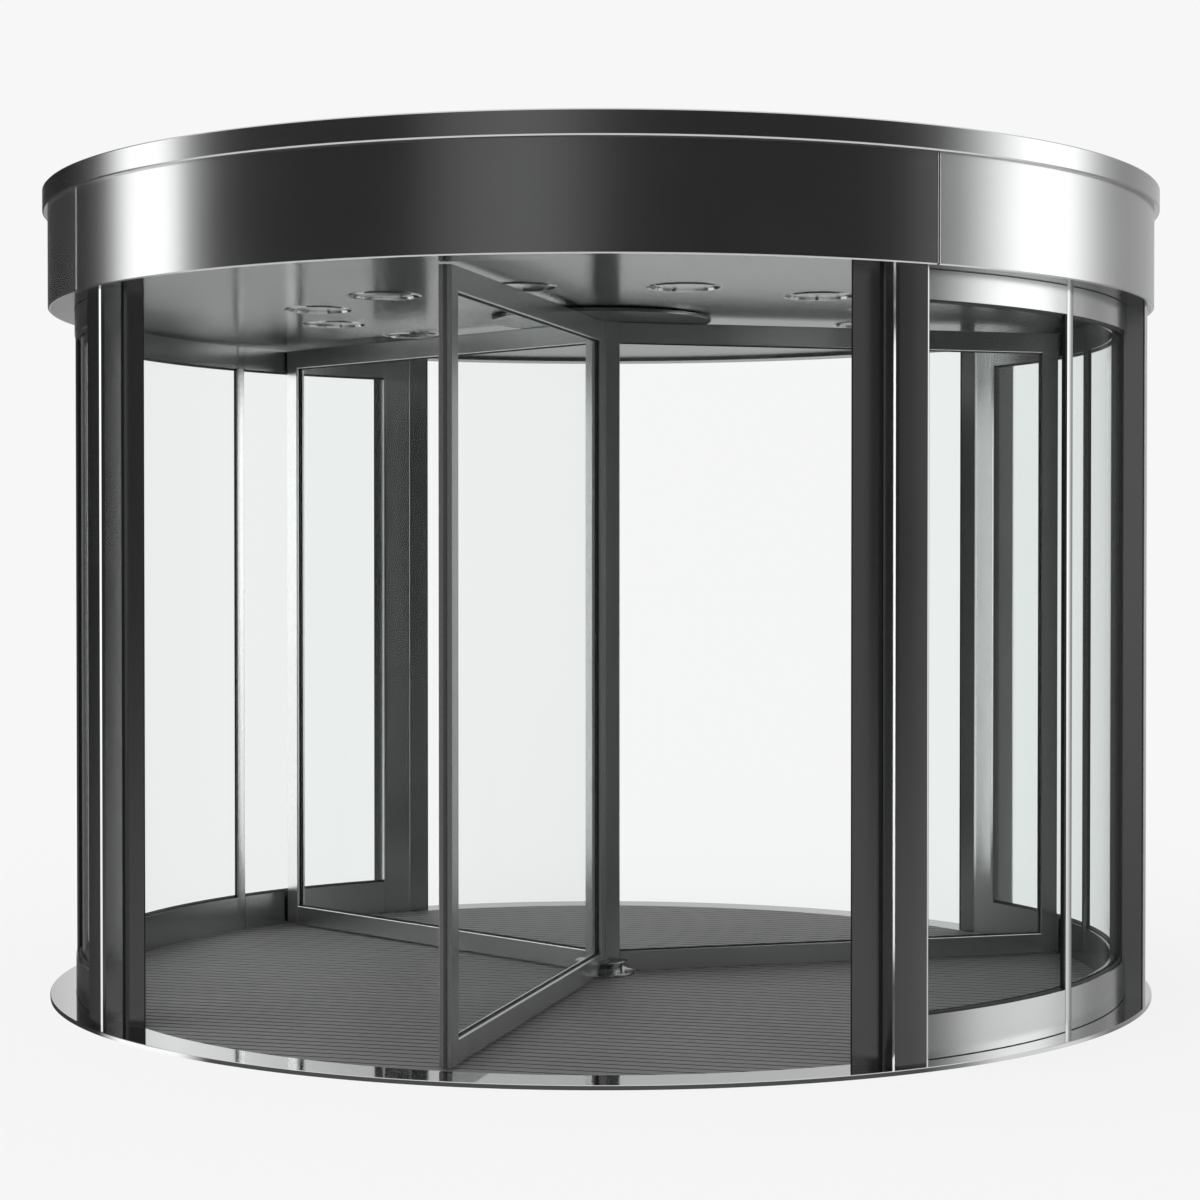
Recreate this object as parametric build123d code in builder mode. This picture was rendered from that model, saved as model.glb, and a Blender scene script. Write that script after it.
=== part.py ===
from build123d import *
from math import asin, ceil, cos, degrees, hypot, radians, sin, tan
import os

# Three-wing revolving door: a round drum with two openings, a canopy and a turning set of glazed wings.
# Millimetres. Z is up, the origin is the centre of the drum on the underside of its floor ring.
# People walk along Y: the front opening is towards -Y. Angles along the drum start at -Y and grow
# towards +X, so the front is 0 degrees, the right side 90 and the back 180.

# Drum
drum_radius = 1800.0          # outer edge of the floor ring
ring_width = 130.0            # the floor ring's outer edge to the inner face of the walls
rail_thickness = 48.0
clear_height = 2182.0         # floor ring's top to the underside of the canopy
ring_thickness = 13.0
ring_edge = 1.5

# Floor
mat_rib_pitch = 51.5
mat_groove_width = 9.0
mat_groove_depth = 4.0

# Walls
post_nose_angle = 38.8        # edge of the opening
post_front_angle = 41.4       # opening side of the post's outer cover
post_back_angle = 45.2        # wall side of the post
post_body_depth = 39.0
cover_depth = 64.0
cover_corner = 12.0
bottom_rail_height = 124.0
top_rail_height = 84.0
wall_glass_thickness = 12.0
wall_glass_inset = 18.0       # inner face of a rail to the glass
rail_groove_depth = 15.0
front_mullion_angle = 67.6
back_mullion_angle = 68.3
mullion_width = 38.0
mullion_thickness = 6.0
mullion_bow = 1.5             # how far the middle of its face stands out past the rails
mullion_edge = 1.0
mullion_gap = 1.2             # to the rails on both sides
mullion_gasket_width = 36.0
side_post_width = 60.0
side_post_setback = 24.0      # the drum's outer edge to the post's broad outer face
side_stop_width = 44.0
side_stop_depth = 5.0
side_post_corner = 2.0

# Canopy
header_plate_thickness = 10.5
fascia_reach = 1.5            # how far the fascia stands out past the floor ring
fascia_thickness = 10.0
fascia_height = 306.0
fascia_joint_angle = 45.3
fascia_joint_width = 5.0
splice_width = 60.0
splice_thickness = 6.0
fascia_edge = 3.5
ceiling_thickness = 12.0
crown_height = 70.0
crown_reach = 16.5            # how far the crown stands out past the fascia
crown_wall = 22.0
crown_edge = 4.0
crown_ledge_width = 40.0
crown_ledge_thickness = 10.0
roof_thickness = 10.0
roof_recess = 10.0

# Ceiling lights
lamp_count = 12
lamp_circle_radius = 945.0
lamp_flange_radius = 115.0
lamp_rim_radius = 110.0       # the flange's lowest line
lamp_rim_drop = 3.0
lamp_mouth_radius = 105.5
lamp_mouth_drop = 2.0
lamp_throat_radius = 103.0
lamp_body_radius = 108.0
lamp_lens_height = 5.0        # the ceiling's underside to the lens
lamp_lens_thickness = 3.0

# Wings
wing_count = 3
wing_thickness = 38.0
stile_width = 60.0
wing_wall_gap = 11.0          # a wing's frame to the wall
wing_rail_height = 68.0
wing_glass_thickness = 8.0
wing_groove_width = 12.0
wing_groove_depth = 12.0
wing_floor_gap = 6.0
wing_edge = 2.0
seal_thickness = 8.0
seal_slot_depth = 8.0
seal_wall_gap = 6.0           # the seal's tip to the wall

# Pivots
ceiling_disc_radius = 368.0
ceiling_disc_thickness = 10.0
ceiling_disc_gap = 5.0
ceiling_disc_edge = 3.0
journal_radius = 20.0
pivot_radius = 112.0
pivot_height = 11.0
pivot_edge = 4.0
pin_radius = 15.0
pin_length = 12.0
hub_neck_radius = 72.0
hub_neck_height = 14.0
hub_flange_radius = 89.0
hub_height = 36.0
hub_edge = 3.0

# Clearances
seat = 0.3                    # between pieces that rest on or fit into each other

# Heights that follow
mat_top = ring_thickness
header_bottom = ring_thickness + clear_height
ceiling_bottom = header_bottom + header_plate_thickness
ceiling_top = ceiling_bottom + ceiling_thickness
fascia_top = header_bottom + fascia_height
crown_top = fascia_top + crown_height
roof_top = crown_top - roof_recess
disc_top = ceiling_bottom - ceiling_disc_gap
disc_bottom = disc_top - ceiling_disc_thickness
wing_bottom = mat_top + wing_floor_gap
wing_top = disc_bottom - seat
pivot_top = mat_top + pivot_height
hub_bottom = pivot_top + seat
hub_top = hub_bottom + hub_height

# Radii that follow
wall_inner_radius = drum_radius - ring_width
rail_outer_radius = wall_inner_radius + rail_thickness
glass_inner_radius = wall_inner_radius + wall_glass_inset
glass_outer_radius = glass_inner_radius + wall_glass_thickness
side_post_reach = drum_radius - side_post_setback
post_body_radius = wall_inner_radius + post_body_depth
cover_radius = post_body_radius + cover_depth
fascia_outer_radius = drum_radius + fascia_reach
fascia_inner_radius = fascia_outer_radius - fascia_thickness
crown_outer_radius = fascia_outer_radius + crown_reach
crown_inner_radius = crown_outer_radius - crown_wall
wing_radius = wall_inner_radius - wing_wall_gap
seal_radius = wall_inner_radius - seal_wall_gap
shaft_radius = wing_thickness / 2 / tan(radians(180 / wing_count))

# Quarters of the drum, as the signs of X and Y
quarters = {
    "front_right": (1, -1),
    "front_left": (-1, -1),
    "back_right": (1, 1),
    "back_left": (-1, 1),
}
sides = {"right": 1, "left": -1}


def at(radius, angle, quarter=(1, -1)):
    """A point of the plan; the angle starts at the opening's middle and is mirrored into the quarter."""
    x_sign, y_sign = quarter
    return (x_sign * radius * sin(radians(angle)), y_sign * radius * cos(radians(angle)))


def angle_of(width, radius):
    """The angle that a width takes up at a radius."""
    return degrees(asin(width / radius))


def arc(radius, start, end, quarter):
    """An arc of the plan about the centre of the drum."""
    middle = (start + end) / 2
    return ThreePointArc(at(radius, start, quarter), at(radius, middle, quarter), at(radius, end, quarter))


def sector(inner, outer, start, end, quarter=(1, -1)):
    """A piece of a flat ring, as a face for the sketch that adds it."""
    with BuildSketch() as piece:
        with BuildLine():
            arc(outer, start, end, quarter)
            arc(inner, start, end, quarter)
            Line(at(outer, start, quarter), at(inner, start, quarter))
            Line(at(outer, end, quarter), at(inner, end, quarter))
        make_face()
    return piece.sketch


def plan_radius(edge):
    """How far an edge's middle is from the drum's axis."""
    return hypot(edge.center().X, edge.center().Y)


def finish(part, name):
    """Names a finished piece and writes its file."""
    part.label = name
    export_step(part, f"parts/{name}.step")


os.makedirs("parts", exist_ok=True)


# Floor ring: the flat metal ring that posts and rails stand on
with BuildPart() as floor_ring:
    with BuildSketch():
        Circle(drum_radius)
        Circle(wall_inner_radius, mode=Mode.SUBTRACT)
    extrude(amount=ring_thickness)
    outer_rim = floor_ring.edges().group_by(Axis.Z)[-1].sort_by(SortBy.LENGTH)[-1]
    chamfer(outer_rim, length=ring_edge)
finish(floor_ring.part, "floor_ring")


# Floor mat: ribs along X, with open grooves between them
groove_count = 2 * ceil(wall_inner_radius / mat_rib_pitch)
with BuildPart() as floor_mat:
    with BuildSketch():
        Circle(wall_inner_radius - seat)
    extrude(amount=mat_top)
    with BuildSketch(Plane.XY.offset(mat_top - mat_groove_depth)):
        with GridLocations(0, mat_rib_pitch, 1, groove_count):
            Rectangle(2 * wall_inner_radius, mat_groove_width)
        Circle(pivot_radius + mat_groove_width, mode=Mode.SUBTRACT)
    extrude(amount=mat_groove_depth, mode=Mode.SUBTRACT)
finish(floor_mat.part, "floor_mat")


# Floor pivot: a round plate on the mat with the pin that the wings turn on
with BuildPart() as floor_pivot:
    with BuildSketch(Plane.XY.offset(mat_top)):
        Circle(pivot_radius)
    extrude(amount=pivot_height)
    chamfer(floor_pivot.edges().group_by(Axis.Z)[-1], length=pivot_edge)
    with BuildSketch(Plane.XY.offset(pivot_top)):
        Circle(pin_radius)
    extrude(amount=pin_length)
finish(floor_pivot.part, "floor_pivot")


# Corner posts: a pointed body at the edge of the opening and a boxed cover outside it
for quarter_name, quarter in quarters.items():
    with BuildPart() as corner_post:
        with BuildSketch(Plane.XY.offset(ring_thickness)):
            with BuildLine():
                inner_face = arc(wall_inner_radius, post_nose_angle, post_back_angle, quarter)
                outer_face = arc(post_body_radius, post_front_angle, post_back_angle, quarter)
                Line(inner_face @ 0, outer_face @ 0)
                Line(inner_face @ 1, outer_face @ 1)
            make_face()
        extrude(amount=clear_height)
    finish(corner_post.part, f"corner_post_{quarter_name}")

with BuildPart() as post_covers:
    for quarter in quarters.values():
        with BuildSketch(Plane.XY.offset(ring_thickness)):
            add(sector(post_body_radius + seat, cover_radius, post_front_angle, post_back_angle, quarter))
        extrude(amount=clear_height)
    fillet(post_covers.edges().filter_by(Axis.Z).group_by(plan_radius)[-1], radius=cover_corner)
finish(post_covers.part, "post_covers")


# Side posts: the wall's posts at its widest points, which a building front fixes to
for side_name, side in sides.items():
    with BuildPart() as side_post:
        with BuildSketch(Plane.XY.offset(ring_thickness)):
            with Locations((side * (wall_inner_radius + side_post_reach) / 2, 0)):
                Rectangle(side_post_reach - wall_inner_radius, side_post_width)
        extrude(amount=clear_height)
        outer_edges = side_post.edges().filter_by(Axis.Z).group_by(Axis.X)[-1 if side > 0 else 0]
        fillet(outer_edges, radius=side_post_corner)
        with BuildSketch(Plane.XY.offset(ring_thickness)):
            with Locations((side * (side_post_reach + side_stop_depth / 2), 0)):
                Rectangle(side_stop_depth, side_stop_width)
        extrude(amount=clear_height)
    finish(side_post.part, f"side_post_{side_name}")


# Each quarter's wall runs from its corner post to the side post
wall_start = post_back_angle + angle_of(seat, wall_inner_radius)
wall_end = 90 - angle_of(side_post_width / 2 + seat, wall_inner_radius)
wall_quarters = {"right": ("front_right", "back_right"), "left": ("front_left", "back_left")}

# Mullions stand on the side of the wall that faces the front: outside in the front quarters, inside in the
# back ones. Each has its angle, the radius of the rails' face, the radius of the glass, and its way out.
mullion_places = {}
for quarter_name, (x_sign, y_sign) in quarters.items():
    if y_sign < 0:
        mullion_places[quarter_name] = (front_mullion_angle, rail_outer_radius, glass_outer_radius, 1)
    else:
        mullion_places[quarter_name] = (back_mullion_angle, wall_inner_radius, glass_inner_radius, -1)


# Wall rails: bent rails along the foot and the top, with a groove for the glass and a rebate for the mullion
bottom_rail_top = ring_thickness + bottom_rail_height
top_rail_bottom = header_bottom - top_rail_height
rails = {
    "bottom_rail": (ring_thickness, bottom_rail_height, bottom_rail_top - rail_groove_depth),
    "top_rail": (top_rail_bottom, top_rail_height, top_rail_bottom),
}
for rail_name, (rail_bottom, rail_height, groove_bottom) in rails.items():
    for side_name, names in wall_quarters.items():
        with BuildPart() as wall_rail:
            with BuildSketch(Plane.XY.offset(rail_bottom)):
                for name in names:
                    add(sector(wall_inner_radius, rail_outer_radius, wall_start, wall_end, quarters[name]))
            extrude(amount=rail_height)
            with BuildSketch(Plane.XY.offset(groove_bottom)):
                for name in names:
                    add(sector(glass_inner_radius - seat, glass_outer_radius + seat,
                               post_back_angle, 90, quarters[name]))
            extrude(amount=rail_groove_depth, mode=Mode.SUBTRACT)
            with BuildSketch(Plane.XY.offset(rail_bottom)):
                for name in names:
                    angle, face_radius, glass_radius, outward = mullion_places[name]
                    half = angle_of(mullion_width / 2 + mullion_gap, face_radius)
                    rebate = face_radius - outward * (mullion_thickness + seat)
                    beyond = face_radius + outward * mullion_thickness
                    depth = sorted((rebate, beyond))
                    add(sector(*depth, angle - half, angle + half, quarters[name]))
            extrude(amount=rail_height, mode=Mode.SUBTRACT)
        finish(wall_rail.part, f"{rail_name}_{side_name}")


# Mullions: full-height bars with a slightly bowed face, let into the rails
with BuildPart() as mullions:
    for quarter_name, (angle, face_radius, glass_radius, outward) in mullion_places.items():
        quarter = quarters[quarter_name]
        half = angle_of(mullion_width / 2, face_radius)
        back_radius = face_radius - outward * mullion_thickness
        with BuildSketch(Plane.XY.offset(ring_thickness)):
            with BuildLine():
                back = arc(back_radius, angle - half, angle + half, quarter)
                face_start = at(face_radius, angle - half, quarter)
                face_middle = at(face_radius + outward * mullion_bow, angle, quarter)
                face_end = at(face_radius, angle + half, quarter)
                ThreePointArc(face_start, face_middle, face_end)
                Line(back @ 0, face_start)
                Line(back @ 1, face_end)
            make_face()
        extrude(amount=clear_height)
    uprights = mullions.edges().filter_by(Axis.Z)
    for face_radius in (wall_inner_radius, rail_outer_radius):
        corners = uprights.filter_by(lambda edge: abs(plan_radius(edge) - face_radius) < seat)
        chamfer(corners, length=mullion_edge)
finish(mullions.part, "mullions")


# Wall glass: a bent pane in each quarter, held by the rails' grooves
pane_bottom = bottom_rail_top - rail_groove_depth + seat
pane_height = top_rail_bottom + rail_groove_depth - seat - pane_bottom
for quarter_name, quarter in quarters.items():
    with BuildPart() as wall_glass:
        with BuildSketch(Plane.XY.offset(pane_bottom)):
            add(sector(glass_inner_radius, glass_outer_radius, wall_start, wall_end, quarter))
        extrude(amount=pane_height)
    finish(wall_glass.part, f"wall_glass_{quarter_name}")


# Mullion gaskets: black strips between a mullion and the glass, from rail to rail
with BuildPart() as mullion_gaskets:
    with BuildSketch(Plane.XY.offset(bottom_rail_top)):
        for quarter_name, (angle, face_radius, glass_radius, outward) in mullion_places.items():
            half = angle_of(mullion_gasket_width / 2, face_radius)
            back_radius = face_radius - outward * (mullion_thickness + seat)
            depth = sorted((glass_radius + outward * seat, back_radius))
            add(sector(*depth, angle - half, angle + half, quarters[quarter_name]))
    extrude(amount=top_rail_bottom - bottom_rail_top)
finish(mullion_gaskets.part, "mullion_gaskets")


# Header plate: the ring under the canopy that posts and rails stand up to
with BuildPart() as header_plate:
    with BuildSketch(Plane.XY.offset(header_bottom)):
        Circle(fascia_inner_radius - seat)
        Circle(wall_inner_radius, mode=Mode.SUBTRACT)
    extrude(amount=header_plate_thickness)
finish(header_plate.part, "header_plate")


# Ceiling: lies on the header plate, with a hole for each light and one for the wings' journal
with BuildPart() as ceiling_panel:
    with BuildSketch(Plane.XY.offset(ceiling_bottom)):
        Circle(fascia_inner_radius - seat)
        Circle(journal_radius + seat, mode=Mode.SUBTRACT)
        with PolarLocations(lamp_circle_radius, lamp_count):
            Circle(lamp_body_radius + seat, mode=Mode.SUBTRACT)
    extrude(amount=ceiling_thickness)
finish(ceiling_panel.part, "ceiling_panel")


# Ceiling lights: a round trim with a bevelled rim, and the lens that lies on it
lens_bottom = ceiling_bottom + lamp_lens_height
with BuildPart() as lamp_trim:
    with BuildSketch(Plane.XZ):
        with BuildLine():
            Polyline(
                (lamp_flange_radius, ceiling_bottom),
                (lamp_rim_radius, ceiling_bottom - lamp_rim_drop),
                (lamp_mouth_radius, ceiling_bottom - lamp_mouth_drop),
                (lamp_throat_radius, lens_bottom - seat),
                (lamp_body_radius, lens_bottom - seat),
                (lamp_body_radius, ceiling_bottom),
                close=True,
            )
        make_face()
    revolve(axis=Axis.Z)

with BuildPart() as downlight_trims:
    with PolarLocations(lamp_circle_radius, lamp_count):
        add(lamp_trim.part)
finish(downlight_trims.part, "downlight_trims")

with BuildPart() as downlight_lenses:
    with BuildSketch(Plane.XY.offset(lens_bottom)):
        with PolarLocations(lamp_circle_radius, lamp_count):
            Circle(lamp_body_radius)
    extrude(amount=lamp_lens_thickness)
finish(downlight_lenses.part, "downlight_lenses")


# Fascia: four bent panels with an open joint above each corner post
joint_half = angle_of(fascia_joint_width / 2, fascia_outer_radius)
fascia_panels = {
    "front": (-fascia_joint_angle, fascia_joint_angle),
    "right": (fascia_joint_angle, 180 - fascia_joint_angle),
    "back": (180 - fascia_joint_angle, 180 + fascia_joint_angle),
    "left": (180 + fascia_joint_angle, 360 - fascia_joint_angle),
}
for panel_name, (start, end) in fascia_panels.items():
    with BuildPart() as fascia:
        with BuildSketch(Plane.XY.offset(header_bottom)):
            add(sector(fascia_inner_radius, fascia_outer_radius, start + joint_half, end - joint_half))
        extrude(amount=fascia_height)
        lower_rim = fascia.edges().group_by(Axis.Z)[0].filter_by(GeomType.CIRCLE).sort_by(SortBy.RADIUS)[-1]
        outer_ends = fascia.edges().filter_by(Axis.Z).group_by(plan_radius)[-1]
        chamfer([lower_rim, *outer_ends], length=fascia_edge)
    finish(fascia.part, f"fascia_{panel_name}")

# Splices: the strips behind the joints
splice_half = angle_of(splice_width / 2, fascia_inner_radius)
splice_outer = fascia_inner_radius - seat
with BuildPart() as fascia_splices:
    with BuildSketch(Plane.XY.offset(ceiling_top + seat)):
        for quarter in quarters.values():
            add(sector(splice_outer - splice_thickness, splice_outer,
                       fascia_joint_angle - splice_half, fascia_joint_angle + splice_half, quarter))
    extrude(amount=fascia_top - ceiling_top - 2 * seat)
finish(fascia_splices.part, "fascia_splices")


# Crown: the projecting ring on top of the fascia, with a ledge inside that carries the roof
ledge_bottom = roof_top - roof_thickness - crown_ledge_thickness
with BuildPart() as crown_ring:
    with BuildSketch(Plane.XZ):
        with BuildLine():
            Polyline(
                (crown_outer_radius, fascia_top),
                (crown_outer_radius, crown_top),
                (crown_inner_radius, crown_top),
                (crown_inner_radius, ledge_bottom + crown_ledge_thickness),
                (crown_inner_radius - crown_ledge_width, ledge_bottom + crown_ledge_thickness),
                (crown_inner_radius - crown_ledge_width, ledge_bottom),
                (fascia_inner_radius, ledge_bottom),
                (fascia_inner_radius, fascia_top),
                close=True,
            )
        make_face()
    revolve(axis=Axis.Z)
    outer_rims = crown_ring.edges().filter_by(GeomType.CIRCLE).group_by(SortBy.RADIUS)[-1]
    chamfer(outer_rims, length=crown_edge)
finish(crown_ring.part, "crown_ring")

with BuildPart() as roof_cover:
    with BuildSketch(Plane.XY.offset(roof_top - roof_thickness)):
        Circle(crown_inner_radius - seat)
    extrude(amount=roof_thickness)
finish(roof_cover.part, "roof_cover")


# Hub: turns on the floor pivot and carries the wings' stiles
with BuildPart() as rotor_hub:
    with BuildSketch(Plane.XZ):
        with BuildLine():
            Polyline(
                (0, hub_bottom + pin_length + seat),
                (pin_radius + seat, hub_bottom + pin_length + seat),
                (pin_radius + seat, hub_bottom),
                (hub_neck_radius, hub_bottom),
                (hub_neck_radius, hub_bottom + hub_neck_height),
                (hub_flange_radius, hub_top - hub_edge),
                (hub_flange_radius - hub_edge, hub_top),
                (0, hub_top),
                close=True,
            )
        make_face()
    revolve(axis=Axis.Z)
finish(rotor_hub.part, "rotor_hub")

# Shaft: the core that the inner stiles close around
with BuildPart() as rotor_shaft:
    with BuildSketch(Plane.XY.offset(hub_top)):
        Circle(shaft_radius - seat)
    extrude(amount=wing_top - hub_top)
finish(rotor_shaft.part, "rotor_shaft")

# Ceiling disc: the turning plate above the wings, with a journal up through the ceiling
with BuildPart() as ceiling_disc:
    with BuildSketch(Plane.XY.offset(disc_bottom)):
        Circle(ceiling_disc_radius)
    extrude(amount=ceiling_disc_thickness)
    chamfer(ceiling_disc.edges().group_by(Axis.Z)[0], length=ceiling_disc_edge)
    with BuildSketch(Plane.XY.offset(disc_top)):
        Circle(journal_radius)
    extrude(amount=ceiling_top - disc_top)
finish(ceiling_disc.part, "ceiling_disc")


# Wings: two stiles, two rails, a pane and an edge seal each
inner_stile_start = shaft_radius
inner_stile_end = stile_width
inner_stile_middle = (inner_stile_start + inner_stile_end) / 2
outer_stile_start = wing_radius - stile_width
rail_start = inner_stile_end + seat
rail_length = outer_stile_start - seat - rail_start
wing_names = ["front", "right", "left"]

for index, wing_name in enumerate(wing_names):
    direction = 360 / wing_count * index - 90
    wing_plane = Plane.XY.rotated((0, 0, direction))

    with BuildPart() as stiles:
        with BuildSketch(wing_plane.offset(hub_top)) as inner_section:
            with Locations((inner_stile_middle, 0)):
                Rectangle(inner_stile_end - inner_stile_start, wing_thickness)
            chamfer(inner_section.vertices(), length=wing_edge)
            with Locations((inner_stile_end - wing_groove_depth / 2, 0)):
                Rectangle(wing_groove_depth, wing_groove_width, mode=Mode.SUBTRACT)
        extrude(amount=wing_top - hub_top)
        with BuildSketch(wing_plane.offset(wing_bottom)) as outer_section:
            with Locations((outer_stile_start + stile_width / 2, 0)):
                Rectangle(stile_width, wing_thickness)
            chamfer(outer_section.vertices(), length=wing_edge)
            with Locations((outer_stile_start + wing_groove_depth / 2, 0)):
                Rectangle(wing_groove_depth, wing_groove_width, mode=Mode.SUBTRACT)
            with Locations((wing_radius - seal_slot_depth / 2, 0)):
                Rectangle(seal_slot_depth, seal_thickness + 2 * seat, mode=Mode.SUBTRACT)
        extrude(amount=wing_top - wing_bottom)
    finish(stiles.part, f"wing_{wing_name}_stiles")

    with BuildPart() as wing_rails:
        for rail_bottom, groove_side in ((wing_bottom, 1), (wing_top - wing_rail_height, -1)):
            rail_end_point = wing_plane.from_local_coords((rail_start, 0, rail_bottom + wing_rail_height / 2))
            rail_plane = Plane(origin=rail_end_point, x_dir=wing_plane.y_dir, z_dir=wing_plane.x_dir)
            with BuildSketch(rail_plane) as rail_section:
                Rectangle(wing_thickness, wing_rail_height)
                chamfer(rail_section.vertices(), length=wing_edge)
                with Locations((0, groove_side * (wing_rail_height - wing_groove_depth) / 2)):
                    Rectangle(wing_groove_width, wing_groove_depth, mode=Mode.SUBTRACT)
            extrude(amount=rail_length)
        with BuildSketch(Plane.XY.offset(wing_bottom)):
            Circle(hub_flange_radius + seat)
        extrude(amount=hub_top + seat - wing_bottom, mode=Mode.SUBTRACT)
        with BuildSketch(Plane.XY.offset(wing_bottom)):
            Circle(pivot_radius + wing_floor_gap)
        extrude(amount=pivot_top + wing_floor_gap - wing_bottom, mode=Mode.SUBTRACT)
    finish(wing_rails.part, f"wing_{wing_name}_rails")

    pane_start = inner_stile_end - wing_groove_depth + seat
    pane_end = outer_stile_start + wing_groove_depth - seat
    pane_low = wing_bottom + wing_rail_height - wing_groove_depth + seat
    pane_high = wing_top - wing_rail_height + wing_groove_depth - seat
    with BuildPart() as pane:
        with BuildSketch(wing_plane.offset(pane_low)):
            with Locations(((pane_start + pane_end) / 2, 0)):
                Rectangle(pane_end - pane_start, wing_glass_thickness)
        extrude(amount=pane_high - pane_low)
    finish(pane.part, f"wing_{wing_name}_glass")

    seal_start = wing_radius - seal_slot_depth + seat
    with BuildPart() as seal:
        with BuildSketch(wing_plane.offset(wing_bottom)):
            with Locations(((seal_start + seal_radius) / 2, 0)):
                Rectangle(seal_radius - seal_start, seal_thickness)
        extrude(amount=wing_top - wing_bottom)
    finish(seal.part, f"wing_{wing_name}_seal")
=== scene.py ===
import bmesh
import bpy
from math import asin, cos, degrees, pi, radians, sin
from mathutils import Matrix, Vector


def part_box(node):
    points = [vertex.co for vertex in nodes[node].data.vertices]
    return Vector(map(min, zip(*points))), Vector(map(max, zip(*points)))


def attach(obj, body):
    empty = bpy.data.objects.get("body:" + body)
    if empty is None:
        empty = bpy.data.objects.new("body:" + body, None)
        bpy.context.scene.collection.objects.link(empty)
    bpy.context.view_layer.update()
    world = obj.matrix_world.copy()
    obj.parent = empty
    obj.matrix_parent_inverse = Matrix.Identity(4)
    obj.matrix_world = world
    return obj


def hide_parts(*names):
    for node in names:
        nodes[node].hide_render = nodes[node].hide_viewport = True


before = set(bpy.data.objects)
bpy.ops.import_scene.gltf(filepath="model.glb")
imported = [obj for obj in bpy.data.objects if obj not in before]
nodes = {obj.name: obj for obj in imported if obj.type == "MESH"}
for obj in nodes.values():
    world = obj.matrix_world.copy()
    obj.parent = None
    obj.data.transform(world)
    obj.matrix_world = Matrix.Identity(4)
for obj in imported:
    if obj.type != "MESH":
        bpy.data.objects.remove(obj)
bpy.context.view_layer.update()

# The revolving door's looks: satin steel, clear glass, a ribbed mat and black gaskets,
# in a plain white studio.
# Metres. Z is up, people walk along Y, and the front opening is towards -Y, as in the model.

# The door, as in the model: radii and widths in metres, angles in degrees from the front's middle
wall_inner = 1.670           # inner face of the walls and posts
wall_outer = 1.718           # outer face of the rails
glass_inner = 1.688
glass_outer = 1.700
post_outer = 1.709           # a corner post's face under its cover
tip_angle = 38.8             # corner post: the edge of the opening
split_angle = 41.4           # where its nose meets its body
groove_angle = 41.19         # near side of the groove between them
groove_lip = 1.703           # the nose's outer edge at the groove
groove_floor = 1.692
cover_face = 1.773           # outer face of a post cover
cover_rounding = 0.012
wall_angle = 45.2            # where the wall starts
side_angle = 88.96           # where the wall meets the side post
mullion_angles = {-1: 67.6, 1: 68.3}     # front and back quarters
mullion_half = 0.019
fascia_face = 1.8015
fascia_joint = 45.3
fascia_gap = 0.005
side_post_half = 0.030
side_post_reach = 1.776
side_stop_half = 0.022
side_stop_reach = 1.781
wing_glass_bite = 0.0117     # how deep the wings' glass sits in its rails
seat = 0.0003                # between pieces that rest on each other
arc_step = 1.0               # longest step along a bent piece
crease_angle = 25.0          # edges sharper than this stay crisp
wing_turns = {"front": 0.0, "right": 120.0, "left": -120.0}
post_quarters = {"front_right": (1, -1), "front_left": (-1, -1), "back_right": (1, 1), "back_left": (-1, 1)}

# Camera
view_azimuth = 14.7          # from the front towards +X
view_distance = 8.339        # from the door's axis
view_height = 1.380
view_pitch = 0.804           # how far it looks down
view_side_step = 0.003       # the axis is this far to the right of the view's middle
lens_length = 74.9
sensor_width = 36.0

# Studio
white = 0.930                # background and floor as the camera sees them
panel_strength = 2.3         # the two tall soft panels beside the door, against the white of 1
dome_light = 0.73            # soft light from all round
low_ring_height = -0.16      # a reflection this steep downwards shows the low ring alone
steep_heights = (0.42, 0.70) # between these the rings fade into an even level
steep_level = 1.15
key_strength = 1.0
key_spread = 70.0
key_tilt = 32.0
key_turn = -62.0
floor_size = 240.0
floor_glow = 0.88            # share of the floor's light, as seen, that no shadow dims


class Graph:
    """A short way to write node trees: add() makes a node, sets its values and links its sockets."""

    def __init__(self, tree):
        self.tree = tree
        tree.nodes.clear()

    def add(self, kind, inputs=None, **settings):
        made = self.tree.nodes.new("ShaderNode" + kind)
        for key, value in settings.items():
            setattr(made, key, value)
        for key, value in (inputs or {}).items():
            socket = made.inputs[key]
            if isinstance(value, bpy.types.NodeSocket):
                self.tree.links.new(value, socket)
            else:
                socket.default_value = value
        return made

    def math(self, operation, *values):
        made = self.add("Math", dict(enumerate(values)), operation=operation)
        return made.outputs[0]

    def smooth(self, value, low, high, to_low=0.0, to_high=1.0):
        made = self.add("MapRange", {"Value": value, "From Min": low, "From Max": high,
                                     "To Min": to_low, "To Max": to_high},
                        interpolation_type="SMOOTHSTEP")
        return made.outputs["Result"]

    def noise(self, place, scale, detail, **more):
        made = self.add("TexNoise", {"Vector": place, "Scale": scale, "Detail": detail, **more})
        return made.outputs["Fac"]

    def mix(self, share, low, high):
        made = self.add("MixRGB", {"Fac": share, "Color1": (*low, 1), "Color2": (*high, 1)})
        return made.outputs[0]

    def surface(self, inputs):
        shader = self.add("BsdfPrincipled", inputs)
        self.add("OutputMaterial", {"Surface": shader.outputs[0]})


# ---------------------------------------------------------------- studio

def ring_of_light(graph, share, levels):
    """Brightness by direction: a ramp through (degrees, level) pairs that starts and ends at the back."""
    ramp = graph.add("ValToRGB", {"Fac": share})
    points = ramp.color_ramp.elements
    for angle, _ in levels[1:-1]:
        points.new(angle / 360 + 0.5)
    for point, (angle, level) in zip(points, levels):
        point.color = (level / panel_strength,) * 3 + (1.0,)
    return graph.math("MULTIPLY", ramp.outputs["Color"], panel_strength)


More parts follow.
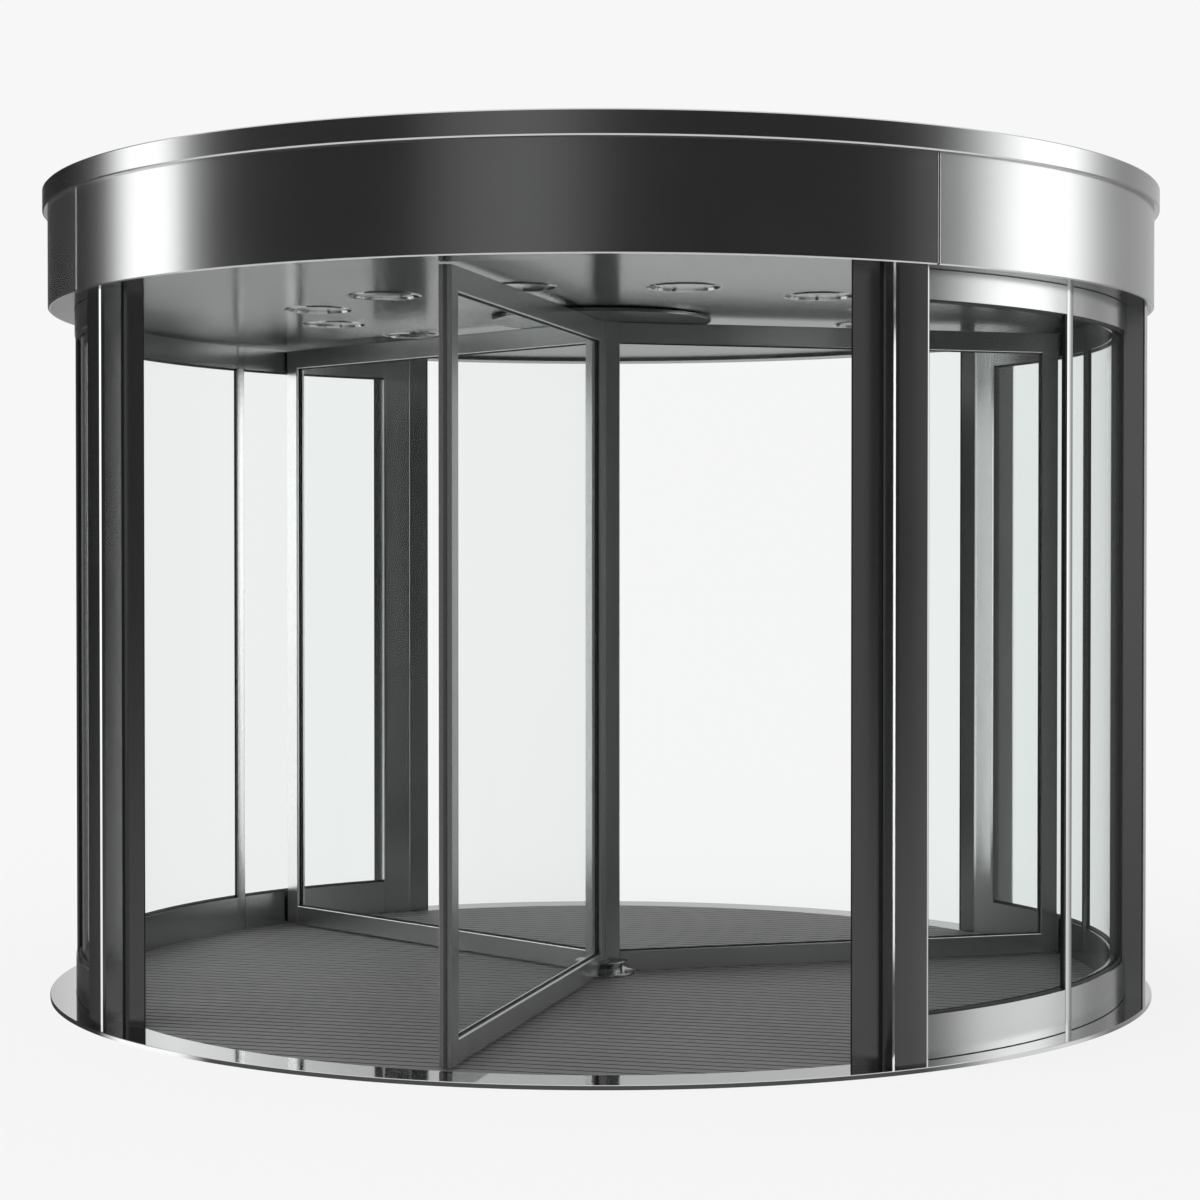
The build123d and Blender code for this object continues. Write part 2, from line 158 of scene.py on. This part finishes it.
def studio_world():
    """Plain white for the camera, an even dome for matt surfaces, and two tall panels for shine."""
    world = bpy.data.worlds.new("studio")
    world.use_nodes = True
    world.cycles.sampling_method = "NONE"
    graph = Graph(world.node_tree)
    direction = graph.add("TexCoord").outputs["Generated"]
    turned = graph.add("VectorRotate", {"Vector": direction, "Angle": -radians(view_azimuth)},
                       rotation_type="Z_AXIS").outputs[0]
    parts = graph.add("SeparateXYZ", {"Vector": turned}).outputs
    backward = graph.math("MULTIPLY", parts["Y"], -1.0)
    around = graph.math("ARCTAN2", parts["X"], backward)
    share = graph.math("MULTIPLY_ADD", around, 1 / (2 * pi), 0.5)
    # Brightness round the studio: degrees from the camera's side, positive to the right.
    level_ring = [
        (-180, 0.58), (-174, 0.64), (-170, 1.10), (-166, 0.42), (-158, 0.04), (-136, 0.015), (-116, 0.04),
        (-111.5, 1.0), (-107, panel_strength), (-93, panel_strength), (-89, 0.44), (-81, 0.06), (-70, 0.035),
        (-38, 0.035), (-27, 0.16), (-14, 0.20), (-6, 0.15), (3, 0.045), (15, 0.033), (52, 0.033), (62, 0.045),
        (70, 0.13), (78, 0.70), (86, 1.8), (92, panel_strength), (106, panel_strength), (112, 1.20),
        (118, 0.56), (127, 0.36), (150, 0.55), (168, 0.74), (180, 0.58),
    ]
    low_ring = [
        (-180, 0.66), (-168, 0.38), (-157, 0.06), (-121, 0.05), (-112, 1.70), (-92, 1.70), (-84, 0.12),
        (66, 0.12), (76, 0.40), (85, 1.06), (106, 1.12), (113, 0.95), (119, 0.52), (125, 0.30), (145, 0.38),
        (160, 0.56), (180, 0.66),
    ]
    level = ring_of_light(graph, share, level_ring)
    low = ring_of_light(graph, share, low_ring)
    under = graph.smooth(parts["Z"], 0.0, low_ring_height)
    around_level = graph.add("Mix", {0: under, 2: level, 3: low}, data_type="FLOAT").outputs[0]
    height = graph.math("ABSOLUTE", parts["Z"])
    steep = graph.smooth(height, *steep_heights)
    gloss_level = graph.add("Mix", {0: steep, 2: around_level, 3: steep_level},
                            data_type="FLOAT").outputs[0]
    path = graph.add("LightPath").outputs
    glossy = graph.math("GREATER_THAN", path["Glossy Depth"], 0.5)
    matt = graph.math("GREATER_THAN", path["Diffuse Depth"], 0.5)
    plain = graph.add("Background", {"Color": (1, 1, 1, 1), "Strength": white})
    dome = graph.add("Background", {"Color": (1, 1, 1, 1), "Strength": dome_light})
    shine = graph.add("Background", {"Color": (1, 1, 1, 1), "Strength": gloss_level})
    first = graph.add("MixShader", {0: glossy, 1: plain.outputs[0], 2: shine.outputs[0]})
    both = graph.add("MixShader", {0: matt, 1: first.outputs[0], 2: dome.outputs[0]})
    graph.add("OutputWorld", {"Surface": both.outputs[0]})
    bpy.context.scene.world = world


def floor_material():
    """White floor that keeps a soft shadow of the door."""
    material = bpy.data.materials.new("floor")
    material.use_nodes = True
    graph = Graph(material.node_tree)
    path = graph.add("LightPath").outputs
    lit = graph.add("BsdfDiffuse", {"Color": (white, white, white, 1)})
    glow = graph.add("Emission", {"Color": (1, 1, 1, 1), "Strength": white})
    shown = graph.add("MixShader", {0: floor_glow, 1: lit.outputs[0], 2: glow.outputs[0]})
    seen = graph.math("MAXIMUM", path["Is Camera Ray"], path["Is Transmission Ray"])
    both = graph.add("MixShader", {0: seen, 1: lit.outputs[0], 2: shown.outputs[0]})
    glossy = graph.math("GREATER_THAN", path["Glossy Depth"], 0.5)
    clear = graph.add("BsdfTransparent")
    whole = graph.add("MixShader", {0: glossy, 1: both.outputs[0], 2: clear.outputs[0]})
    graph.add("OutputMaterial", {"Surface": whole.outputs[0]})
    return material


def studio_floor():
    bpy.ops.mesh.primitive_plane_add(size=floor_size, location=(0, 0, 0))
    floor = bpy.context.object
    floor.name = "floor"
    floor.data.materials.append(floor_material())


def studio_key():
    key = bpy.data.lights.new("key", "SUN")
    key.energy = key_strength
    key.angle = radians(key_spread)
    lamp = bpy.data.objects.new("key", key)
    lamp.rotation_euler = (radians(key_tilt), 0, radians(key_turn))
    lamp.visible_glossy = False
    bpy.context.scene.collection.objects.link(lamp)


def studio_camera():
    eye = bpy.data.cameras.new("camera")
    eye.lens = lens_length
    eye.sensor_width = sensor_width
    camera = bpy.data.objects.new("camera", eye)
    turn = radians(view_azimuth)
    camera.location = (
        view_distance * sin(turn) - view_side_step * cos(turn),
        -view_distance * cos(turn) - view_side_step * sin(turn),
        view_height,
    )
    camera.rotation_euler = (radians(90 - view_pitch), 0, turn)
    bpy.context.scene.collection.objects.link(camera)
    bpy.context.scene.camera = camera


# ---------------------------------------------------------------- materials

def new_material(name):
    material = bpy.data.materials.new(name)
    material.use_nodes = True
    return material, Graph(material.node_tree)


def round_coordinates(graph, radius):
    """Object coordinates unrolled from a drum of that radius: length round it, height, depth."""
    place = graph.add("TexCoord").outputs["Object"]
    parts = graph.add("SeparateXYZ", {"Vector": place}).outputs
    angle = graph.math("ARCTAN2", parts["X"], parts["Y"])
    length = graph.math("MULTIPLY", angle, radius)
    square = graph.math("MULTIPLY", parts["X"], parts["X"])
    depth = graph.math("SQRT", graph.math("MULTIPLY_ADD", parts["Y"], parts["Y"], square))
    return graph.add("CombineXYZ", {"X": length, "Y": depth, "Z": parts["Z"]}).outputs[0]


def steel(name, colour, roughness, grain="z", mottle=0.015, edge=1.0, radius=1.8, metal=1.0):
    """Satin steel with a fine brushed grain that runs along x, z or round the drum."""
    material, graph = new_material(name)
    if grain == "round":
        place = round_coordinates(graph, radius)
    else:
        place = graph.add("TexCoord").outputs["Object"]
    along, across = 30.0, 420.0
    scale = (across, across, along) if grain == "z" else (along, across, across)
    stretched = graph.add("Mapping", {"Vector": place, "Scale": scale}).outputs[0]
    lines = graph.noise(stretched, 1.0, 2.0, Roughness=0.6)
    cloud = graph.noise(place, 2.5, 2.0)
    rough = graph.smooth(cloud, 0.3, 0.7, roughness - 0.01, roughness + 0.01)
    light = tuple(min(1.0, c * (1 + 2 * mottle)) for c in colour)
    dark = tuple(c * (1 - 2 * mottle) for c in colour)
    graph.surface({
        "Base Color": graph.mix(lines, dark, light), "Metallic": metal, "Roughness": rough,
        "Specular Tint": (edge, edge, edge, 1),
    })
    return material


def glass(name, colour, deep):
    """Clear, anti-reflecting glass, greener where it is seen at a low angle; lamps shine through it."""
    material, graph = new_material(name)
    facing = graph.add("LayerWeight", {"Blend": 0.5}).outputs["Facing"]
    place = graph.add("TexCoord").outputs["Object"]
    cloud = graph.noise(place, 1.3, 1.0)
    share = graph.math("MULTIPLY_ADD", cloud, 0.04, facing)
    shader = graph.add("BsdfPrincipled", {
        "Base Color": graph.mix(share, colour, deep), "Roughness": 0.0, "IOR": 1.06,
        "Transmission Weight": 1.0,
    })
    clear = graph.add("BsdfTransparent", {"Color": (*[c ** 0.5 for c in colour], 1)})
    path = graph.add("LightPath").outputs
    both = graph.add("MixShader", {0: path["Is Shadow Ray"], 1: shader.outputs[0], 2: clear.outputs[0]})
    graph.add("OutputMaterial", {"Surface": both.outputs[0]})
    return material


def mat_material():
    """Ribbed entrance mat: dark fibre strips with a fine net, slightly shiny."""
    material, graph = new_material("mat")
    place = graph.add("TexCoord").outputs["Object"]
    parts = graph.add("SeparateXYZ", {"Vector": place}).outputs
    pitch = 0.0103           # of the net
    across = graph.math("SINE", graph.math("MULTIPLY", parts["X"], 2 * pi / pitch))
    along = graph.math("SINE", graph.math("MULTIPLY", parts["Y"], 2 * pi / pitch))
    net = graph.math("MULTIPLY_ADD", graph.math("ADD", across, along), 0.25, 0.5)
    fibre = graph.noise(place, 420.0, 3.0)
    cloud = graph.noise(place, 2.2, 3.0)
    height = graph.math("MULTIPLY_ADD", fibre, 0.5, graph.math("MULTIPLY", net, 0.5))
    tone = graph.math("MULTIPLY_ADD", cloud, 0.35, graph.math("MULTIPLY", height, 0.65))
    colour = graph.add("ValToRGB", {"Fac": tone})
    colour.color_ramp.elements[0].position = 0.25
    colour.color_ramp.elements[0].color = (0.043, 0.043, 0.042, 1)
    colour.color_ramp.elements[1].position = 0.75
    colour.color_ramp.elements[1].color = (0.121, 0.121, 0.118, 1)
    bump = graph.add("Bump", {"Height": height, "Strength": 0.6, "Distance": 0.0012})
    graph.surface({
        "Base Color": colour.outputs[0], "Roughness": 0.55, "Specular IOR Level": 0.5,
        "Normal": bump.outputs[0], "Sheen Weight": 0.25, "Sheen Roughness": 0.5,
    })
    return material


def rubber(name, dark=(0.006, 0.006, 0.006), light=(0.016, 0.016, 0.016), roughness=0.5):
    """Black gasket rubber with a faint bloom."""
    material, graph = new_material(name)
    place = graph.add("TexCoord").outputs["Object"]
    bloom = graph.noise(place, 90.0, 3.0)
    colour = graph.mix(bloom, dark, light)
    rough = graph.smooth(bloom, 0.3, 0.7, roughness - 0.08, roughness + 0.08)
    graph.surface({"Base Color": colour, "Roughness": rough, "Specular IOR Level": 0.25})
    return material


def lens_material():
    """Frosted lamp lens with a smooth face."""
    material, graph = new_material("lamp_lens")
    place = graph.add("TexCoord").outputs["Object"]
    grain = graph.noise(place, 300.0, 2.0)
    colour = graph.mix(grain, (0.33, 0.34, 0.34), (0.37, 0.38, 0.38))
    graph.surface({"Base Color": colour, "Roughness": 0.20, "Metallic": 0.90})
    return material


def painted(name, colour):
    """Even grey paint with a faint orange-peel."""
    material, graph = new_material(name)
    place = graph.add("TexCoord").outputs["Object"]
    peel = graph.noise(place, 160.0, 2.0)
    dust = graph.noise(place, 2.5, 4.0)
    light = tuple(c * 1.12 for c in colour)
    tone = graph.mix(dust, colour, light)
    rough = graph.smooth(dust, 0.3, 0.7, 0.42, 0.55)
    bump = graph.add("Bump", {"Height": peel, "Strength": 0.15, "Distance": 0.0003})
    graph.surface({"Base Color": tone, "Roughness": rough, "Normal": bump.outputs[0]})
    return material


def wing_parts(part):
    return tuple(f"wing_{name}_{part}" for name in wing_turns)


def dress(material, *names):
    """Gives a material to the CAD nodes whose names start with one of these."""
    for node_name, piece in nodes.items():
        if node_name.startswith(names):
            for slot in piece.material_slots:
                slot.material = material


steel_base = (0.50, 0.505, 0.505)
light_base = (0.60, 0.605, 0.605)
post_steel = steel("post_steel", steel_base, 0.18, "z", mottle=0.008)
side_post_steel = steel("side_post_steel", (0.45, 0.455, 0.455), 0.20, "z")
cover_steel = steel("cover_steel", steel_base, 0.13, "z")
mullion_steel = steel("mullion_steel", steel_base, 0.20, "z")
rail_steel = steel("rail_steel", steel_base, 0.22, "round")
stile_steel = steel("stile_steel", light_base, 0.26, "z", metal=0.96)
wing_rail_steel = steel("wing_rail_steel", light_base, 0.26, "x", metal=0.97)
fascia_steel = steel("fascia_steel", steel_base, 0.20, "round")
# Rougher than the front's steel for a broader highlight, with a lighter base that paints extra brightness on
# the side panels.
fascia_side_steel = steel("fascia_side_steel", (0.53, 0.535, 0.535), 0.25, "round")
crown_steel = steel("crown_steel", steel_base, 0.20, "round")
ceiling_steel = steel("ceiling_steel", (0.33, 0.34, 0.335), 0.18, "x", mottle=0.01, edge=0.8)
ring_steel = steel("ring_steel", (0.56, 0.565, 0.565), 0.06, "round", mottle=0.008)
hub_steel = steel("hub_steel", (0.36, 0.365, 0.365), 0.28, "round", mottle=0.008, radius=0.1)
trim_steel = steel("trim_steel", (0.42, 0.425, 0.425), 0.10, "x", mottle=0.008)
# Steel much lighter than the rest, for the edges beside the fascia's joint lines: a painted highlight.
painted_highlight_steel = steel("painted_highlight_steel", (0.80, 0.805, 0.805), 0.20, "z", mottle=0.008)
wall_glass = glass("wall_glass", (0.925, 0.945, 0.938), (0.86, 0.89, 0.88))
wing_glass = glass("wing_glass", (0.985, 0.995, 0.990), (0.93, 0.95, 0.945))
black_rubber = rubber("black_rubber")
seal_rubber = rubber("seal_rubber", (0.030, 0.030, 0.030), (0.042, 0.042, 0.042), 0.45)
wing_seal_rubber = rubber("wing_seal_rubber", (0.046, 0.046, 0.046), (0.056, 0.056, 0.056), 0.45)

dress(post_steel, "corner_post")
dress(side_post_steel, "side_post")
dress(cover_steel, "post_covers")
dress(mullion_steel, "mullions")
dress(rail_steel, "bottom_rail", "top_rail")
dress(stile_steel, *wing_parts("stiles"), "rotor_shaft")
dress(wing_rail_steel, *wing_parts("rails"))
dress(fascia_steel, "fascia_front", "fascia_back")
dress(fascia_side_steel, "fascia_right", "fascia_left")
dress(crown_steel, "crown_ring")
dress(ceiling_steel, "header_plate", "ceiling_panel", "ceiling_disc")
dress(ring_steel, "floor_ring")
dress(hub_steel, "floor_pivot", "rotor_hub")
dress(trim_steel, "downlight_trims")
dress(lens_material(), "downlight_lenses")
dress(wall_glass, "wall_glass")
dress(wing_glass, *wing_parts("glass"))
dress(black_rubber, "mullion_gaskets", "fascia_splices")
dress(wing_seal_rubber, *wing_parts("seal"))
dress(mat_material(), "floor_mat")
dress(painted("roof_paint", (0.30, 0.31, 0.31)), "roof_cover")


# ---------------------------------------------------------------- pieces

def new_piece(name, shape, material, body):
    """A mesh piece that rides on a body and takes the material it is given."""
    verts, faces = shape
    mesh = bpy.data.meshes.new(name)
    mesh.from_pydata(verts, [], faces)
    mesh.materials.append(material)
    piece = bpy.data.objects.new(name, mesh)
    bpy.context.scene.collection.objects.link(piece)
    work = bmesh.new()
    work.from_mesh(mesh)
    bmesh.ops.recalc_face_normals(work, faces=work.faces)
    for face in work.faces:
        face.smooth = True
    for edge in work.edges:
        edge.smooth = edge.calc_face_angle() < radians(crease_angle)
    work.to_mesh(mesh)
    work.free()
    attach(piece, body)
    return piece


def sweep(verts, faces, stations, closed):
    """Skins equal rings of points; closed joins the last ring to the first, else both ends are capped."""
    first = len(verts)
    count = len(stations[0])
    for ring in stations:
        verts.extend(ring)
    spans = len(stations) if closed else len(stations) - 1
    for i in range(spans):
        a, b = first + i * count, first + (i + 1) % len(stations) * count
        for k in range(count):
            n = (k + 1) % count
            faces.append((a + k, a + n, b + n, b + k))
    if not closed:
        faces.append(tuple(first + k for k in range(count)))
        faces.append(tuple(first + (len(stations) - 1) * count + k for k in range(count)))


def lip_section(foot, reach, rise):
    """A gasket's section, a low bulge on the glass: (offset from the glass, height from the frame)."""
    return [(0.0, 0.0), (reach, 0.0), (reach, foot), (reach * 0.55, rise), (0.0, rise)]


def plan(radius, angle, quarter=(1, -1)):
    """A point of the plan; the angle starts at the opening's middle and is mirrored into the quarter."""
    return quarter[0] * radius * sin(radians(angle)), quarter[1] * radius * cos(radians(angle))


def upright(shape, outline, low, high):
    """Adds a straight upright piece over a plan outline."""
    sweep(*shape, [[(x, y, z) for x, y in outline] for z in (low, high)], closed=False)


def bent(shape, section, start, end, quarter):
    """Adds a piece bent round the drum from its section of (radius, height) points."""
    steps = max(1, round((end - start) / arc_step))
    angles = [start + (end - start) * i / steps for i in range(steps + 1)]
    sweep(*shape, [[(*plan(r, angle, quarter), z) for r, z in section] for angle in angles], closed=False)


def quarters():
    """Each quarter of the wall as the signs of X and Y, with its mullion's angle."""
    return [((x, y), mullion_angles[y]) for y in (-1, 1) for x in (-1, 1)]


def wall_runs(mullion_angle, broken):
    """Start and end angles along a quarter's wall, broken by the mullion or not."""
    slack = 0.0015           # beside the mullion
    start = wall_angle + 0.02
    half = degrees(asin((mullion_half + slack) / wall_inner))
    if not broken:
        return [(start, side_angle)]
    return [(start, mullion_angle - half), (mullion_angle + half, side_angle)]


def wall_gaskets():
    """Lips on both faces of the wall glass along the rails, and on its outer face down the side posts."""
    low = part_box("bottom_rail_right")[1].z + seat
    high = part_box("top_rail_right")[0].z - seat
    lip = lip_section(0.0020, 0.0080, 0.0050)
    post_lip_reach, post_lip_top, post_lip_width = 0.011, 0.009, 0.0045
    shape = [], []
    for quarter, mullion_angle in quarters():
        faces = ((glass_outer + seat, 1, quarter[1] < 0), (glass_inner - seat, -1, quarter[1] > 0))
        for face, out, broken in faces:
            for start, end in wall_runs(mullion_angle, broken):
                for level, up in ((low, 1), (high, -1)):
                    section = [(face + out * x, level + up * z) for x, z in lip]
                    bent(shape, section, start, end, quarter)
        x, y = quarter
        near = y * (side_post_half + seat)
        far = near + y * post_lip_width
        ends = ((glass_outer + seat, near), (glass_outer + post_lip_reach, near),
                (glass_outer + post_lip_top, far), (glass_outer + seat, far))
        upright(shape, [(x * u, v) for u, v in ends], low, high)
    new_piece("wall_gaskets", shape, seal_rubber, "frame")


def wall_joints_and_shadow_lines():
    """Black strips on the outside at the foot of the bottom rails and under the header: sealed seams, and a
    painted shadow line in the gaps there.
    """
    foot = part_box("bottom_rail_right")[0].z
    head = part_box("top_rail_right")[1].z
    inner, outer = wall_outer + seat / 2, wall_outer + 0.0009
    height = 0.0020
    shape = [], []
    for quarter, mullion_angle in quarters():
        for start, end in wall_runs(mullion_angle, quarter[1] < 0):
            for low, high in ((foot + seat, foot + height), (head - height, head - seat)):
                # black rubber along the rail's foot and head: a seal, and a painted shadow line
                section = [(inner, low), (outer, low), (outer, high), (inner, high)]
                bent(shape, section, start, end, quarter)
    new_piece("wall_joints_and_shadow_lines", shape, black_rubber, "frame")


def curve_through(start, bend, end, count):
    """Points of a quadratic curve, without its last one."""
    points = []
    for i in range(count):
        t = i / count
        points.append(tuple((1 - t) ** 2 * a + 2 * t * (1 - t) * b + t * t * c
                            for a, b, c in zip(start, bend, end)))
    return points


def post_outline(quarter):
    """A corner post in plan: an eased body, then a nose with a hollow inner face and a groove."""
    x_sign, y_sign = quarter
    ease = 0.003                     # radius of the body's rounded edges
    joint_depth = 0.020              # how far out the joint runs between body and nose
    tip_inset, tip_turn = 0.0025, 0.09
    to_middle, to_shoulder = (0.0220, 0.0042), (0.0441, 0.0088)      # from the tip
    to_bend = (0.0174, 0.0038)       # from the shoulder
    flat_steps, round_steps, steps = 4, 8, 6
    turn = degrees(ease / wall_inner)
    rounding = [radians(22.5 * i) for i in range(5)]
    body = [(wall_inner + ease * (1 - sin(a)), wall_angle - turn * (1 - cos(a))) for a in rounding]
    for i in range(1, steps):
        body.append((wall_inner, wall_angle - (wall_angle - split_angle) * i / steps))
    body += [(wall_inner + ease * (1 - cos(a)), split_angle + turn * (1 - sin(a))) for a in rounding]
    body.append((wall_inner + joint_depth, split_angle))
    inside = [plan(radius, angle) for radius, angle in body]
    tip = plan(wall_inner + tip_inset, tip_angle + tip_turn)
    shoulder = (tip[0] + to_shoulder[0], tip[1] + to_shoulder[1])
    bend = (shoulder[0] + to_bend[0], shoulder[1] + to_bend[1])
    nose_end = plan(groove_lip, groove_angle)
    middle = (tip[0] + to_middle[0], tip[1] + to_middle[1])
    outside = curve_through(tip, middle, shoulder, flat_steps)
    outside += curve_through(shoulder, bend, nose_end, round_steps) + [nose_end]
    groove = [plan(groove_floor, groove_angle), plan(groove_floor, split_angle)]
    back = [plan(post_outer, split_angle + (wall_angle - split_angle) * i / steps)
            for i in range(steps + 1)]
    return [(x_sign * x, -y_sign * y) for x, y in inside + outside + groove + back]


def corner_posts():
    """The four corner posts, the rubber bead along each nose's tip, and the black rubber in its groove, which
    also paints the groove's deep shade.
    """
    bead, bead_turn = 0.0020, 0.06   # the bead's radius, and its turn past the opening's edge
    slack = 0.01                     # degrees between the groove's sides and its rubber
    near, far = groove_angle + slack, split_angle - slack
    floor = groove_floor + seat
    corners = ((groove_lip - 0.0015, near), (post_outer - 0.0012, far), (floor, far), (floor, near))
    beads = [], []
    fillers = [], []
    for name, quarter in post_quarters.items():
        node = f"corner_post_{name}"
        low, high = (corner.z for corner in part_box(node))
        shape = [], []
        upright(shape, post_outline(quarter), low, high)
        post = new_piece(f"post_{name}", shape, post_steel, "frame")
        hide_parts(node)
        x, y = plan(wall_inner + bead, tip_angle + bead_turn, quarter)
        outline = [(x + bead * cos(radians(a)), y + bead * sin(radians(a))) for a in range(0, 360, 45)]
        upright(beads, outline, low + seat, high - seat)
        # rubber that fills the groove: a seal, and painted shade in the gap
        outline = [plan(radius, angle, quarter) for radius, angle in corners]
        upright(fillers, outline, low + seat, high - seat)
    new_piece("post_tip_beads", beads, black_rubber, "frame")
    new_piece("post_groove_seals_and_shade", fillers, black_rubber, "frame")


def cover_edges():
    """The post covers' edge towards the opening: two shallow bevels that meet in a crisp line."""
    low, high = (corner.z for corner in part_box("post_covers"))
    corner = plan(cover_face, split_angle)
    along = (cos(radians(split_angle)), sin(radians(split_angle)))
    inward = (-sin(radians(split_angle)), cos(radians(split_angle)))
    bevels = [(0.0102, 0.0), (0.00115, 0.00196), (0.0, 0.0085)]      # along the face, inward
    rounding = [(cover_rounding * (1 - cos(radians(a))), cover_rounding * (1 - sin(radians(a))))
                for a in range(18, 79, 12)]
    shape = [], []
    for quarter, _ in quarters():
        outline = []
        for u, v in bevels + rounding:
            x, y = (corner[i] + u * along[i] + v * inward[i] for i in (0, 1))
            outline.append((quarter[0] * x, -quarter[1] * y))
        upright(shape, outline, low, high)
    new_piece("cover_edges", shape, cover_steel, "frame")


def side_post_edges():
    """Edge trims in the corners beside the side posts' stops, and black strips next to them that paint the
    shade of the thin grooves there.
    """
    low, high = (corner.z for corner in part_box("side_post_right"))
    trim_width = 0.0055
    joint_near, joint_far = side_post_reach - 0.0055, side_post_reach - 0.0030
    face = side_post_half + seat
    proud = face + 0.0004
    corners = ((side_post_reach + seat, side_stop_half + trim_width),
               (side_stop_reach, side_stop_half + seat),
               (side_post_reach + seat, side_stop_half + seat))
    strip = ((joint_near, face), (joint_far, face), (joint_far, proud), (joint_near, proud))
    trims, joint_shadows = ([], []), ([], [])
    for x in (-1, 1):
        for y in (-1, 1):
            upright(trims, [(x * u, y * v) for u, v in corners], low, high)
            # black strips on the post's faces: painted shadow lines for the grooves beside the trims
            upright(joint_shadows, [(x * u, y * v) for u, v in strip], low + seat, high - seat)
    new_piece("side_post_trims", trims, post_steel, "frame")
    new_piece("side_post_joint_shadows", joint_shadows, black_rubber, "frame")


def fascia_edges():
    """Half-round edges on both sides of each joint between the fascia panels, in a steel lighter than the
    fascia's: real bead reflections and a painted highlight along the joint lines.
    """
    low, high = (corner.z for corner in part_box("fascia_front"))
    bead, flatness = 0.0014, 0.6
    foot_gap, head_gap = 0.0035, 0.0005
    shape = [], []
    for quarter, _ in quarters():
        for side in (-1, 1):
            outline = []
            for turn in range(-90, 91, 30):
                across = side * (fascia_gap / 2 + bead + bead * sin(radians(turn)))
                radius = fascia_face + seat + bead * flatness * cos(radians(turn))
                outline.append(plan(radius, fascia_joint + degrees(across / radius), quarter))
            upright(shape, outline, low + foot_gap, high - head_gap)
    new_piece("fascia_edges", shape, painted_highlight_steel, "frame")


def wing_gaskets():
    """A gasket frame on both faces of each wing's glass, mitred at the corners."""
    rails_low, rails_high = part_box("wing_front_rails")
    glass_low, glass_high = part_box("wing_front_glass")
    near, far = -rails_high.y, -rails_low.y
    low, high = glass_low.z + wing_glass_bite, glass_high.z - wing_glass_bite
    face = glass_high.x + seat
    lip = lip_section(0.0012, 0.0040, 0.0032)
    corners = ((near, low, 1, 1), (far, low, -1, 1), (far, high, -1, -1), (near, high, 1, -1))
    for name, turn in wing_turns.items():
        angle = radians(turn)
        shape = [], []
        for side in (1, -1):
            stations = []
            for along, up, step_along, step_up in corners:
                ring = []
                for offset, rise in lip:
                    across = side * (face + offset)
                    radius = along + step_along * rise
                    ring.append((
                        radius * sin(angle) + across * cos(angle),
                        -radius * cos(angle) + across * sin(angle),
                        up + step_up * rise,
                    ))
                stations.append(ring)
            sweep(*shape, stations, closed=True)
        new_piece(f"wing_{name}_gasket", shape, black_rubber, "rotor")


wing_gaskets()
wall_gaskets()
wall_joints_and_shadow_lines()
corner_posts()
cover_edges()
side_post_edges()
fascia_edges()

studio_world()
studio_floor()
studio_key()
studio_camera()
bpy.context.scene.view_settings.view_transform = "Standard"
